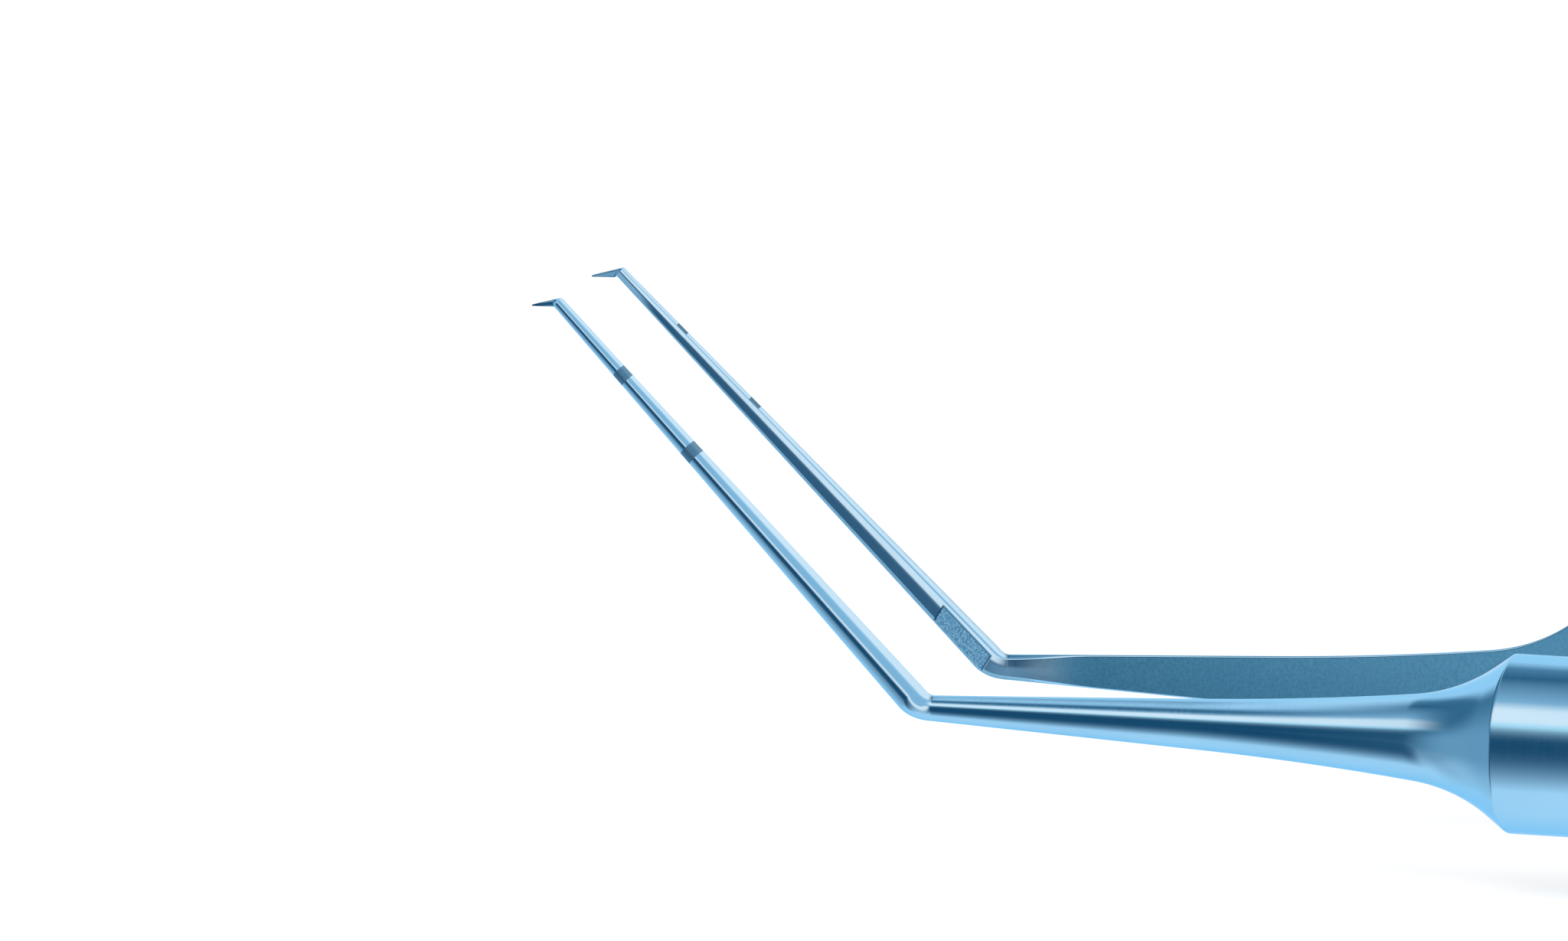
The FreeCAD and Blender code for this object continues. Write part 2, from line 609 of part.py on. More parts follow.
def named_edges(shape):
    return [("Edge%d" % (i + 1), edge) for i, edge in enumerate(shape.Edges)]


def make_rivets():
    """Two rivets, filed flush with the barrel."""
    reach = "(Sizes.tail_radius - Sizes.rivet_sink)"
    rods = [cross_rod("rivet_%d" % (i + 1), cell("rivet_radius"), "-" + reach, reach,
                      "%s + Sizes.rivet_first + %d * Sizes.rivet_pitch" % (MOUTH_PLACE, i))
            for i in range(2)]
    both = doc.addObject("Part::Compound", "tail_rivets")
    both.Links = rods
    return both


# The whole forceps

blank = make_arm_blank()
pieces = {
    "near_arm": make_near_arm(blank),
    "far_arm": make_far_arm(blank),
    "guide_pin": make_guide_pin(),
    "tail": make_tail(),
    "tail_rivets": make_rivets(),
}
for name, piece in pieces.items():
    piece.Label = name
doc.recompute()


def check_document():
    for item in doc.Objects:
        if "Invalid" in item.State or "Error" in item.State:
            raise RuntimeError("%s is %s" % (item.Name, item.State))
    for name, piece in pieces.items():
        if piece.Shape.isNull() or not piece.Shape.isValid():
            raise RuntimeError("%s has no valid shape" % name)


check_document()
os.makedirs("parts", exist_ok=True)
for name, piece in pieces.items():
    piece.Shape.exportStep("parts/%s.step" % name)
    box = piece.Shape.optimalBoundingBox()
    print("%-12s %8.3f mm3, %d solids, x %.3f to %.3f, y %.3f to %.3f, z %.3f to %.3f" % (
        name, piece.Shape.Volume, len(piece.Shape.Solids), box.XMin, box.XMax,
        box.YMin, box.YMax, box.ZMin, box.ZMax))
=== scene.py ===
import math

import bpy
import numpy as np
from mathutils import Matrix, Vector
from mathutils.geometry import tessellate_polygon


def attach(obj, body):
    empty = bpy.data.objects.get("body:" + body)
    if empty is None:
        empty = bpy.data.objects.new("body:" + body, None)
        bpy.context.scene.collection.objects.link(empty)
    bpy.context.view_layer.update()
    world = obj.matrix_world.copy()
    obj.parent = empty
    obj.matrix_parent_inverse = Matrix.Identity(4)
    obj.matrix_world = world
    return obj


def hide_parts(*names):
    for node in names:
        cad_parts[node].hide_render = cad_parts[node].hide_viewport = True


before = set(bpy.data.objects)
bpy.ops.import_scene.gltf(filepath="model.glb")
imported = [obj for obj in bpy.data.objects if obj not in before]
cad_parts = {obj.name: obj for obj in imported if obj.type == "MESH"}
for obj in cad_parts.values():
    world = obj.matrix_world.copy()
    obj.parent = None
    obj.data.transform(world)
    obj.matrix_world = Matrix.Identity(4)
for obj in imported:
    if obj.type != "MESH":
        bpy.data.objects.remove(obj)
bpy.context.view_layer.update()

# Capsulorhexis forceps. Both arms are drawn finely enough for their 0.3 mm shafts and
# stand for the CAD arms. Sizes are in millimetres, as in the part's source.
# An arm's own frame: origin where the handle axis meets the shaft axis, X to the
# rear, the flat inner face at y = 0 and the metal at -y. The far arm is its mirror.

MM = 0.001
OVERALL_LENGTH = 110.0
ELBOW_HALF_GAP = 2.92
TOE_IN = math.radians(0.85)
SHAFT_RISE = math.radians(44.8)
ELBOW_CANT = math.radians(2.55)
SHAFT_LENGTH = 13.14
SHAFT_END_RADIUS = 0.143
SHAFT_ROOT_RADIUS = 0.392
ELBOW_RADIUS = 0.318
ELBOW_BEND = 0.86
TIP_LENGTH = 0.686
TIP_DROOP = math.radians(8.3)
TIP_ROOT_RADIUS = 0.1
TIP_POINT_RADIUS = 0.015
TIP_STEP = 0.17
TIP_ROOT_DEPTH = 0.012
TIP_NOSE = 0.004
SHANK_TAPER = math.radians(2.61)
SHANK_LENGTH = 14.91
FLARE_JOIN = 2.49
FLARE_RADIUS = 4.3
FLARE_SLOPE = math.radians(35.9)
FLARE_CONE = 0.45
NECK_RADIUS = 2.167
NECK_LENGTH = 8.0
SWELL_LENGTH = 3.0
GRIP_RADIUS = 3.4
GRIP_LENGTH = 28.0
HEEL_LENGTH = 6.0
HEEL_RADIUS = 2.2
RING_COUNT = 15
RING_PITCH = 1.7
RING_WIDTH = 0.9
RING_FLOOR = 0.4
RING_DEPTH = 0.3
RING_LIP = 0.012
RING_SHOULDER = 0.07
RING_BREAK = 0.05
LEAF_THICKNESS = 0.7
LEAF_HEIGHT = 4.0
LEAF_CORNER = 0.12
LEAF_ANCHOR = 5.0
TONGUE_LENGTH = 5.5
LEAF_GAP = 0.15
TAIL_LENGTH = 12.0
GUIDE_PLACE = 46.0
GUIDE_HOLE_RADIUS = 1.0
GUIDE_HOLE_DEPTH = 2.8
GUIDE_HOLE_MARGIN = 0.25
PLATFORM_START = 0.145
PLATFORM_LENGTH = 1.70
PLATFORM_LOW = 0.263
PLATFORM_WIDTH = 0.41
PLATFORM_SKEW = 0.09
PLATFORM_STEP = 0.15
PLATFORM_ROOT = 0.05
PLATFORM_CHAMFER = 0.03

# Finish of the edges, which the solids leave sharp
SHANK_CORNER = 0.045
SHANK_FLAT_INSET = 1.1 * SHANK_CORNER
SHANK_BLEND = (-0.3, 2.6)
SHAFT_UPPER_START = 0.56
SHAFT_LOWER_START = 0.68
SHAFT_EDGE_DEPTH = 0.16
FACE_TILTS = (math.radians(-8), math.radians(4.5))
FACE_BEND = (-0.10, 0.25)
TIP_FACE_TILT = math.radians(-24)
TIP_FLATNESS = 0.35
TIP_FLAT_SHARE = 0.8
TIP_EDGE_SHARE = 0.15
TIP_TILT_FADE = (0.2, 2.4)
BLAST_FADE = (0.45, 2.2)
LEAF_BLAST = 0.25
HOLE_FLOOR_BLAST = 0.3
SHOULDER_ROUND = 0.16
TIP_BEVEL = 0.03
TIP_BEVEL_BACK = 0.012
TIP_BEVEL_DROP = 0.018
TIP_WALL_LEAN = math.radians(28)
PLATFORM_BEVEL = 0.045
MARK_WIDTH = 0.33
NEAR_MARKS = (2.36, 4.86)
FAR_MARKS = (2.03, 4.53)
FIRST_SPAN = 0.05
SLIVER = 1e-9

ELBOW_RUN = ELBOW_BEND * math.tan(SHAFT_RISE / 2)
SHAFT_END = 2 * ELBOW_RUN - SHAFT_LENGTH
NECK_END = SHANK_LENGTH + NECK_LENGTH
GRIP_START = NECK_END + SWELL_LENGTH
GRIP_END = GRIP_START + GRIP_LENGTH
HEEL_END = GRIP_END + HEEL_LENGTH
TIP_REACH = SHAFT_LENGTH * math.cos(SHAFT_RISE) + TIP_LENGTH * math.cos(TIP_DROOP)
ELBOW_PLACE = TIP_REACH - OVERALL_LENGTH / 2
AXIS_HEIGHT = GRIP_RADIUS

FACE_POINTS = 17
CORNER_STEPS = 7
ARC_STEPS = 40
SHAFT_STATIONS = 60
ELBOW_STATIONS = 25
FAN_STATIONS = 7
TIP_STATIONS = 14
SHANK_STATIONS = 30
FLARE_STATIONS = 24
LEAF_STATIONS = 24
HOLE_STEPS = 48
SHOULDER_STATIONS = 10
NECK_STATIONS = 12
SWELL_STATIONS = 6
HEEL_STATIONS = 8
PLATE_CORNER_SPOTS = 5
HOLE_COLUMNS = (4, 12)

# Material slots of an arm
POLISHED, MARKED, GRAINY, BLASTED, SHADED, SATIN = range(6)


# Sections: closed outlines in the plane across an arm, y towards the inner side, z up

class Edge:
    """The strip between the inner face and the round outside: where it starts, its depth."""
    def __init__(self, start, depth, rod=0.0):
        self.start, self.depth, self.rod = start, depth, rod

    def corner(self, radius, height):
        """Spots, normals and the angle at which the outside takes over."""
        centre_y = height - self.depth
        end_z = math.sqrt(radius ** 2 - centre_y ** 2)
        rise = end_z - self.start
        spots, normals = [], []
        for a in np.linspace(0, math.pi / 2, CORNER_STEPS + 1):
            y, z = centre_y + self.depth * math.cos(a), self.start + rise * math.sin(a)
            spots.append((y, z))
            # on the slim shafts the strip shades as part of a round rod with a milled flat
            round_z = min(z / radius, 1.0)
            around = np.array([math.sqrt(1 - round_z ** 2), round_z])
            local = np.array([math.cos(a) / self.depth, math.sin(a) / rise])
            local /= np.linalg.norm(local)
            normals.append(tuple(mix(local, around, self.rod)))
        return spots, normals, math.pi / 2 + math.asin(-centre_y / radius)


def section(radius, upper, lower, tilts=(0.0, 0.0), flatness=1.0):
    """Half-round outside and an inner face of two faint slopes, low and high."""
    spots, normals = [], []
    height, last_z, last_slope = 0.0, None, 0.0
    for z in np.linspace(-lower.start, upper.start, FACE_POINTS):
        slope = mix(tilts[0], tilts[1], smooth(z / radius, FACE_BEND[0], FACE_BEND[1]))
        if last_z is not None:
            height -= (slope + last_slope) / 2 * (z - last_z)
        last_z, last_slope = z, slope
        spots.append((height, z))
        normals.append((1.0, slope))
    up_spots, up_normals, up_angle = upper.corner(radius, height)
    low_spots, low_normals, low_angle = lower.corner(radius, 0.0)
    spots += up_spots[1:]
    normals += up_normals[1:]
    for a in np.linspace(up_angle, 2 * math.pi - low_angle, ARC_STEPS + 1)[1:]:
        spots.append((radius * math.cos(a) * flatness, radius * math.sin(a)))
        normals.append((math.cos(a) / flatness, math.sin(a)))
    for (y, z), (ny, nz) in list(zip(low_spots, low_normals))[-2:0:-1]:
        spots.append((y, -z))
        normals.append((ny, -nz))
    normals = np.array(normals, float)
    return np.array(spots), normals / np.linalg.norm(normals, axis=1)[:, None]


def smooth(value, low, high):
    t = min(max((value - low) / (high - low), 0.0), 1.0)
    return t * t * (3 - 2 * t)


def mix(a, b, t):
    return a + (b - a) * t


def blended_section(radius, share, flat_start, flat_depth, flatness=1.0,
                    low_tilt=FACE_TILTS[0]):
    """From the shaft's milled rod at 0 to a plain flat face with fine edges at 1."""
    depth = mix(SHAFT_EDGE_DEPTH * radius, flat_depth, share)
    upper = Edge(mix(SHAFT_UPPER_START * radius, flat_start, share), depth, 1 - share)
    lower = Edge(mix(SHAFT_LOWER_START * radius, flat_start, share), depth, 1 - share)
    tilts = [(1 - share) * math.tan(t) for t in (low_tilt, FACE_TILTS[1])]
    return section(radius, upper, lower, tilts, flatness)


def slim_section(radius, low_tilt=FACE_TILTS[0]):
    return blended_section(radius, 0.0, 0.0, 0.0, 1.0, low_tilt)


# Frames along an arm

def straight_frame(x):
    return np.array([x, 0, 0.0]), np.eye(3)


def turned(frame_in, pivot, axis, angle):
    """A frame carried round a pivot by an angle."""
    origin, basis = frame_in
    axis = np.array(axis, float)
    axis /= np.linalg.norm(axis)
    k = np.array([[0, -axis[2], axis[1]], [axis[2], 0, -axis[0]], [-axis[1], axis[0], 0]])
    turn = np.eye(3) + math.sin(angle) * k + (1 - math.cos(angle)) * (k @ k)
    pivot = np.array(pivot, float)
    return turn @ (origin - pivot) + pivot, turn @ basis


def bent(frame_in, angle=SHAFT_RISE):
    """Round the elbow, up and forwards from the shank."""
    return turned(frame_in, (ELBOW_RUN, 0, ELBOW_BEND),
                  (0, math.cos(ELBOW_CANT), -math.sin(ELBOW_CANT)), angle)


def tip_spot(along, across):
    """A spot of the tip's outline in the plane of the flat face, ahead of the shaft."""
    turn = SHAFT_RISE + TIP_DROOP
    return np.array([SHAFT_END - along * math.cos(turn) - across * math.sin(turn),
                     -along * math.sin(turn) + across * math.cos(turn)])


def tip_half_height(along):
    return mix(TIP_ROOT_RADIUS, TIP_POINT_RADIUS, along / TIP_LENGTH)


def meeting(spot, direction, line_spot, line_direction):
    """How far along a direction a ray meets a line."""
    sides = np.array([[direction[0], -line_direction[0]], [direction[1], -line_direction[1]]])
    return np.linalg.solve(sides, line_spot - spot)[0]


def tip_corner(side):
    """Where the tip's edge meets the shaft's: side is 1 above and -1 below."""
    edge = tip_spot(0, side * TIP_ROOT_RADIUS)
    run = tip_spot(TIP_LENGTH, side * TIP_POINT_RADIUS) - edge
    shaft_edge = np.array([SHAFT_END, side * SHAFT_END_RADIUS])
    taper = (SHAFT_ROOT_RADIUS - SHAFT_END_RADIUS) / (ELBOW_RUN - SHAFT_END)
    shaft_run = np.array([1.0, side * taper])
    return edge + run * meeting(edge, run, shaft_edge, shaft_run)


# Stations along the arm: a frame, a section, marks of the finish

class Station:
    def __init__(self, place, shape, blast=0.0, sharp=False, mark=False):
        self.place, self.shape = place, shape
        self.blast, self.sharp, self.mark = blast, sharp, mark


def shaft_section(x):
    share = (x - SHAFT_END) / (ELBOW_RUN - SHAFT_END)
    radius = mix(SHAFT_END_RADIUS, SHAFT_ROOT_RADIUS, share)
    low_tilt = mix(TIP_FACE_TILT, FACE_TILTS[0], smooth(x - SHAFT_END, *TIP_TILT_FADE))
    return slim_section(radius, low_tilt)


def shaft_stations(mark_places):
    stations = []
    marks = []
    for place in mark_places:
        marks += [SHAFT_END + place - MARK_WIDTH / 2, SHAFT_END + place + MARK_WIDTH / 2]
    even = np.linspace(SHAFT_END + FIRST_SPAN, ELBOW_RUN, SHAFT_STATIONS)[:-1]
    for x in sorted(list(even) + marks):
        in_mark = any(marks[i] - SLIVER <= x < marks[i + 1] - SLIVER for i in (0, 2))
        stations.append(Station(bent(straight_frame(x)), shaft_section(x), mark=in_mark))
    return stations


def elbow_stations():
    stations = []
    for angle in np.linspace(SHAFT_RISE, 0, ELBOW_STATIONS)[:-1]:
        share = smooth(1 - angle / SHAFT_RISE, 0, 1)
        radius = mix(SHAFT_ROOT_RADIUS, ELBOW_RADIUS, share)
        place = bent(straight_frame(ELBOW_RUN), angle)
        stations.append(Station(place, slim_section(radius)))
    return stations


def handle_profile():
    """Places and radii from the elbow to the heel, with a flag at each sharp edge."""
    taper = math.tan(SHANK_TAPER)
    cone_x = SHANK_LENGTH - FLARE_CONE
    cone_y = NECK_RADIUS - FLARE_CONE * math.tan(FLARE_SLOPE)
    join_x = SHANK_LENGTH - FLARE_JOIN
    join = math.asin(math.sin(FLARE_SLOPE) - (cone_x - join_x) / FLARE_RADIUS)
    join_y = cone_y - FLARE_RADIUS * (math.cos(join) - math.cos(FLARE_SLOPE))
    rise = join_y - ELBOW_RADIUS - taper * (join_x - ELBOW_RUN)
    long_radius = rise / (math.cos(SHANK_TAPER) - math.cos(join)
                          - taper * (math.sin(join) - math.sin(SHANK_TAPER)))
    flare_x = join_x - long_radius * (math.sin(join) - math.sin(SHANK_TAPER))
    profile = [(x, ELBOW_RADIUS + (x - ELBOW_RUN) * taper, False)
               for x in np.linspace(ELBOW_RUN, flare_x, SHANK_STATIONS)[:-1]]
    for a in np.linspace(SHANK_TAPER, join, FLARE_STATIONS)[:-1]:
        profile.append((join_x - long_radius * (math.sin(join) - math.sin(a)),
                        join_y - long_radius * (math.cos(a) - math.cos(join)), False))
    for a in np.linspace(join, FLARE_SLOPE, FLARE_STATIONS):
        profile.append((join_x + FLARE_RADIUS * (math.sin(a) - math.sin(join)),
                        join_y + FLARE_RADIUS * (math.cos(join) - math.cos(a)), False))
    # the shoulder's edge is broken by a small round
    cut = SHOULDER_ROUND * math.tan(FLARE_SLOPE / 2)
    round_x = SHANK_LENGTH + cut
    for a in np.linspace(math.pi / 2 + FLARE_SLOPE, math.pi / 2, SHOULDER_STATIONS):
        profile.append((round_x + SHOULDER_ROUND * math.cos(a),
                        NECK_RADIUS - SHOULDER_ROUND + SHOULDER_ROUND * math.sin(a), False))
    for x in np.linspace(round_x, NECK_END, NECK_STATIONS)[1:]:
        profile.append((x, NECK_RADIUS, False))
    profile[-1] = (NECK_END, NECK_RADIUS, True)
    for x in np.linspace(NECK_END, GRIP_START, SWELL_STATIONS)[1:]:
        share = (x - NECK_END) / SWELL_LENGTH
        profile.append((x, mix(NECK_RADIUS, GRIP_RADIUS, share), False))
    profile[-1] = (GRIP_START, GRIP_RADIUS, True)
    first_ring = GRIP_START + (GRIP_LENGTH - (RING_COUNT - 1) * RING_PITCH) / 2
    edge, floor = RING_WIDTH / 2, RING_FLOOR / 2
    half_ring = [(edge + RING_BREAK, 0), (edge, RING_LIP), (edge - RING_BREAK, RING_SHOULDER),
                 (floor + RING_BREAK, RING_DEPTH - RING_BREAK), (floor - RING_BREAK, RING_DEPTH)]
    ring = [(-dx, depth) for dx, depth in half_ring] + half_ring[::-1]
    for i in range(RING_COUNT):
        x = first_ring + i * RING_PITCH
        profile += [(x + dx, GRIP_RADIUS - depth, False) for dx, depth in ring]
    profile.append((GRIP_END, GRIP_RADIUS, True))
    for x in np.linspace(GRIP_END, HEEL_END, HEEL_STATIONS)[1:]:
        share = (x - GRIP_END) / HEEL_LENGTH
        profile.append((x, mix(GRIP_RADIUS, HEEL_RADIUS, share), False))
    return profile


def handle_stations():
    stations = []
    for x, radius, sharp in handle_profile():
        share = smooth(x, ELBOW_RUN + SHANK_BLEND[0], SHANK_BLEND[1])
        shape = blended_section(radius, share, radius - SHANK_FLAT_INSET, SHANK_CORNER)
        stations.append(Station(straight_frame(x), shape, smooth(x, *BLAST_FADE), sharp))
    return stations


def section_across(low, high, share):
    """A station whose section spans two spots of the plane of the flat face."""
    across = high - low
    height = np.linalg.norm(across)
    lean = math.atan2(-across[0], across[1])
    origin = np.array([(low[0] + high[0]) / 2, 0, (low[1] + high[1]) / 2])
    basis = np.array([[math.cos(lean), 0, -math.sin(lean)], [0, 1, 0],
                      [math.sin(lean), 0, math.cos(lean)]])
    half = height / 2
    shape = blended_section(half, share, TIP_FLAT_SHARE * half, TIP_EDGE_SHARE * half,
                            mix(1, TIP_FLATNESS, share), TIP_FACE_TILT)
    return Station(bent((origin, basis)), shape)


def tip_stations():
    """From the point back to the mitre, the last few fanning about the inside corner."""
    low, high = tip_corner(-1), tip_corner(1)
    first = math.atan2(low[0] - high[0], high[1] - low[1])
    last = SHAFT_RISE + TIP_DROOP
    edge = tip_spot(0, TIP_ROOT_RADIUS)
    run = tip_spot(TIP_LENGTH, TIP_POINT_RADIUS) - edge
    stations = []
    for lean in np.linspace(first, last, FAN_STATIONS):
        ahead = np.array([-math.sin(lean), math.cos(lean)])
        top = low + ahead * meeting(low, ahead, edge, run)
        share = (lean - first) / (last - first)
        stations.append(section_across(low, top, share))
    start = np.dot(low - tip_spot(0, 0), tip_spot(1, 0) - tip_spot(0, 0))
    for along in np.linspace(start, TIP_LENGTH, TIP_STATIONS)[1:]:
        half = tip_half_height(along)
        stations.append(section_across(tip_spot(along, -half), tip_spot(along, half), 1.0))
    stations[0].sharp = True
    return stations[::-1]


def tip_platform(shell):
    """The tip's flat gripping face, proud of the shaft, with a bevel along its edges."""
    low = tip_corner(-1)
    edge = tip_spot(0, TIP_ROOT_RADIUS)
    run = tip_spot(TIP_LENGTH, TIP_POINT_RADIUS) - edge
    ahead = np.array([-math.sin(TIP_WALL_LEAN), math.cos(TIP_WALL_LEAN)])
    high = low + ahead * meeting(low, ahead, edge, run)
    point = [tip_spot(TIP_LENGTH, side * TIP_POINT_RADIUS) for side in (-1, 1)]
    corners = [low, point[0], point[1], high]
    heel = tip_spot(0, 0)
    nose = [tip_spot(TIP_LENGTH - TIP_BEVEL, side * TIP_NOSE) for side in (-1, 1)]
    inner = [low + tip_spot(TIP_BEVEL_BACK, TIP_BEVEL) - heel, nose[0],
             nose[1], high + tip_spot(TIP_BEVEL_BACK, -TIP_BEVEL) - heel]
    raised_pad(shell, corners, inner, -TIP_ROOT_DEPTH, TIP_STEP, TIP_BEVEL_DROP, SATIN)


# Meshes

class Shell:
    """Gathers corners, faces, normals, materials and finish of one piece."""

    def __init__(self):
        self.spots, self.faces, self.normals = [], [], []
        self.slots, self.blast = [], []

    def add_spot(self, spot, blast=0.0):
        self.spots.append(tuple(spot))
        self.blast.append(blast)
        return len(self.spots) - 1

    def add_face(self, corners, normals, slot=0):
        self.faces.append(tuple(corners))
        self.normals += [tuple(n) for n in normals]
        self.slots.append(slot)

    def flat_face(self, corners, normal, slot=0):
        self.add_face(corners, [normal] * len(corners), slot)


def ring_points(station):
    origin, basis = station.place
    spots, normals = station.shape
    across = np.stack([np.zeros(len(spots)), spots[:, 0], spots[:, 1]], 1)
    facing = np.stack([np.zeros(len(spots)), normals[:, 0], normals[:, 1]], 1)
    return origin + across @ basis.T, facing @ basis.T


def slanted(facing, ahead, along):
    """Turns normals of a section so that they stand square on the run of the surface."""
    share = np.sum(facing * ahead, 1) / np.sum(along * ahead, 1)
    result = facing - share[:, None] * along
    return result / np.linalg.norm(result, axis=1)[:, None]


def sweep(shell, stations, slot_of, skip=None, caps=(True, True)):
    """Skins a row of stations. slot_of(i, j) gives the material of face j of span i."""
    rings = [ring_points(s) for s in stations]
    count = len(rings[0][0])
    index = [[shell.add_spot(p, s.blast) for p in ring[0]]
             for ring, s in zip(rings, stations)]
    last = len(rings) - 1
    facing = []
    for i, (spots, normals) in enumerate(rings):
        along = np.tile(stations[i].place[1][:, 0], (count, 1))
        back, front = max(i - 1, 0), min(i + 1, last)
        if stations[i].sharp:
            before = slanted(normals, spots - rings[back][0], along)
            after = slanted(normals, rings[front][0] - spots, along)
        else:
            before = after = slanted(normals, rings[front][0] - rings[back][0], along)
        facing.append((before, after))
    for i in range(last):
        for j in range(count):
            k = (j + 1) % count
            if skip and skip(i, j):
                continue
            after, before = facing[i][1], facing[i + 1][0]
            shell.add_face((index[i][j], index[i][k], index[i + 1][k], index[i + 1][j]),
                           (after[j], after[k], before[k], before[j]), slot_of(i, j))
    if caps[0]:
        shell.flat_face(index[0][::-1], -stations[0].place[1][:, 0])
    if caps[1]:
        shell.flat_face(index[-1], stations[-1].place[1][:, 0])
    return index


def guide_hole(shell, stations, index):
    """The blind hole for the guide pin: a pierced patch of the inner face, wall and floor."""
    low, high = HOLE_COLUMNS
    rows = [i for i, s in enumerate(stations) if hole_span(stations, i)]
    rows.append(rows[-1] + 1)
    rim = [index[i][low] for i in rows] + [index[rows[-1]][j] for j in range(low + 1, high)]
    rim += [index[i][high] for i in rows[::-1]]
    rim += [index[rows[0]][j] for j in range(high - 1, low, -1)]
    mouth, floor, away = [], [], []
    for i in range(HOLE_STEPS):
        a = 2 * math.pi * i / HOLE_STEPS
        x, z = math.cos(a), math.sin(a)
        mouth.append(shell.add_spot((GUIDE_PLACE + GUIDE_HOLE_RADIUS * x, 0,
                                     GUIDE_HOLE_RADIUS * z), 1.0))
        floor.append(shell.add_spot((GUIDE_PLACE + GUIDE_HOLE_RADIUS * x, -GUIDE_HOLE_DEPTH,
                                     GUIDE_HOLE_RADIUS * z), HOLE_FLOOR_BLAST))
        away.append((-x, 0, -z))
    loops = [[Vector((shell.spots[i][0], shell.spots[i][2], 0)) for i in loop]
             for loop in (rim, mouth)]
    names = rim + mouth
    for a, b, c in tessellate_polygon(loops):
        corners = [names[a], names[b], names[c]]
        p, q, r = (np.array(shell.spots[i]) for i in corners)
        if np.cross(q - p, r - p)[1] < 0:
            corners.reverse()
        shell.flat_face(corners, (0, 1, 0), BLASTED)
    for i in range(HOLE_STEPS):
        k = (i + 1) % HOLE_STEPS
        shell.add_face((mouth[i], floor[i], floor[k], mouth[k]),
                       (away[i], away[i], away[k], away[k]))
    shell.flat_face(floor[::-1], (0, 1, 0))


def hole_span(stations, i):
    """Whether the span after a station is cut open for the guide pin's hole."""
    margin = GUIDE_HOLE_RADIUS + GUIDE_HOLE_MARGIN
    if i + 1 >= len(stations):
        return False
    x, x_next = stations[i].place[0][0], stations[i + 1].place[0][0]
    bent_part = stations[i].place[0][2] > 0
    return not bent_part and x_next > GUIDE_PLACE - margin and x < GUIDE_PLACE + margin


def leaf_path():
    """Middle line of the leaf spring and its direction: an S of two equal arcs."""
    mouth_x = (OVERALL_LENGTH / 2 - TAIL_LENGTH) - ELBOW_PLACE
    inward = ELBOW_HALF_GAP - LEAF_GAP - LEAF_THICKNESS / 2
    end_x = mouth_x * math.cos(TOE_IN) - inward * math.sin(TOE_IN)
    end_y = mouth_x * math.sin(TOE_IN) + inward * math.cos(TOE_IN)
    start_y = -LEAF_THICKNESS / 2
    run, drop = end_x - HEEL_END, end_y - start_y
    bend = (run ** 2 + drop ** 2) / (4 * drop)
    sweep_angle = math.asin(run / 2 / bend)
    path = [(HEEL_END - LEAF_ANCHOR, start_y, 0.0)]
    for a in np.linspace(0, sweep_angle, LEAF_STATIONS):
        path.append((HEEL_END + bend * math.sin(a), start_y + bend * (1 - math.cos(a)), a))
    for a in np.linspace(sweep_angle, 0, LEAF_STATIONS)[1:]:
        path.append((end_x - bend * math.sin(a), end_y - bend * (1 - math.cos(a)), a))
    path.append((end_x + TONGUE_LENGTH, end_y, 0.0))
    return path


def plate_section(half_y, half_z, corner):
    """A flat strip with rounded edges."""
    spots, normals = [], []
    for quarter, (sy, sz) in enumerate(((1, -1), (1, 1), (-1, 1), (-1, -1))):
        start = -math.pi / 2 + quarter * math.pi / 2
        for a in np.linspace(start, start + math.pi / 2, PLATE_CORNER_SPOTS):
            spots.append((sy * (half_y - corner) + corner * math.cos(a),
                          sz * (half_z - corner) + corner * math.sin(a)))
            normals.append((math.cos(a), math.sin(a)))
    return np.array(spots), np.array(normals)


def leaf(shell):
    """The leaf spring and its tongue."""
    shape = plate_section(LEAF_THICKNESS / 2, LEAF_HEIGHT / 2, LEAF_CORNER)
    stations = []
    for x, y, a in leaf_path():
        basis = np.array([[math.cos(a), -math.sin(a), 0], [math.sin(a), math.cos(a), 0],
                          [0, 0, 1.0]])
        stations.append(Station((np.array([x, y, 0.0]), basis), shape, LEAF_BLAST))
    sweep(shell, stations, lambda i, j: POLISHED)


def raised_pad(shell, corners, inner, low_y, high_y, chamfer, top_slot):
    """A four-sided block raised on the inner face, bevelled in to the inner corners."""
    rows = [[(c[0], low_y, c[1]) for c in corners],
            [(c[0], high_y - chamfer, c[1]) for c in corners],
            [(c[0], high_y, c[1]) for c in inner]]
    origin, basis = bent(straight_frame(0))
    index = []
    for row in rows:
        world = [origin + basis @ np.array(p) for p in row]
        index.append([shell.add_spot(p, 1.0) for p in world])

    def face_of(ids, slot):
        pts = [np.array(shell.spots[i]) for i in ids]
        n = np.cross(pts[1] - pts[0], pts[2] - pts[0])
        shell.flat_face(ids, n / np.linalg.norm(n), slot)

    # the walls and bevels take the SHADED slot, whose darker blue is painted shade
    for a in range(2):
        for i in range(4):
            k = (i + 1) % 4
            face_of((index[a][i], index[a][k], index[a + 1][k], index[a + 1][i]), SHADED)
    face_of(tuple(index[2]), top_slot)
    face_of(tuple(index[0][::-1]), POLISHED)


def platform(shell):
    """The tying platform low on the far shaft."""
    start = 2 * ELBOW_RUN - PLATFORM_START
    low_end = start - PLATFORM_LENGTH
    high_end = low_end - PLATFORM_SKEW
    low, high = -PLATFORM_LOW, PLATFORM_WIDTH - PLATFORM_LOW
    corners = [(start, low), (low_end, low), (high_end, high), (start - PLATFORM_SKEW, high)]
    corners = [np.array(c) for c in corners]
    middle = sum(corners) / 4
    inner = [c + (middle - c) / np.linalg.norm(middle - c) * PLATFORM_BEVEL for c in corners]
    raised_pad(shell, corners, inner, -PLATFORM_ROOT, PLATFORM_STEP, PLATFORM_CHAMFER,
               GRAINY)


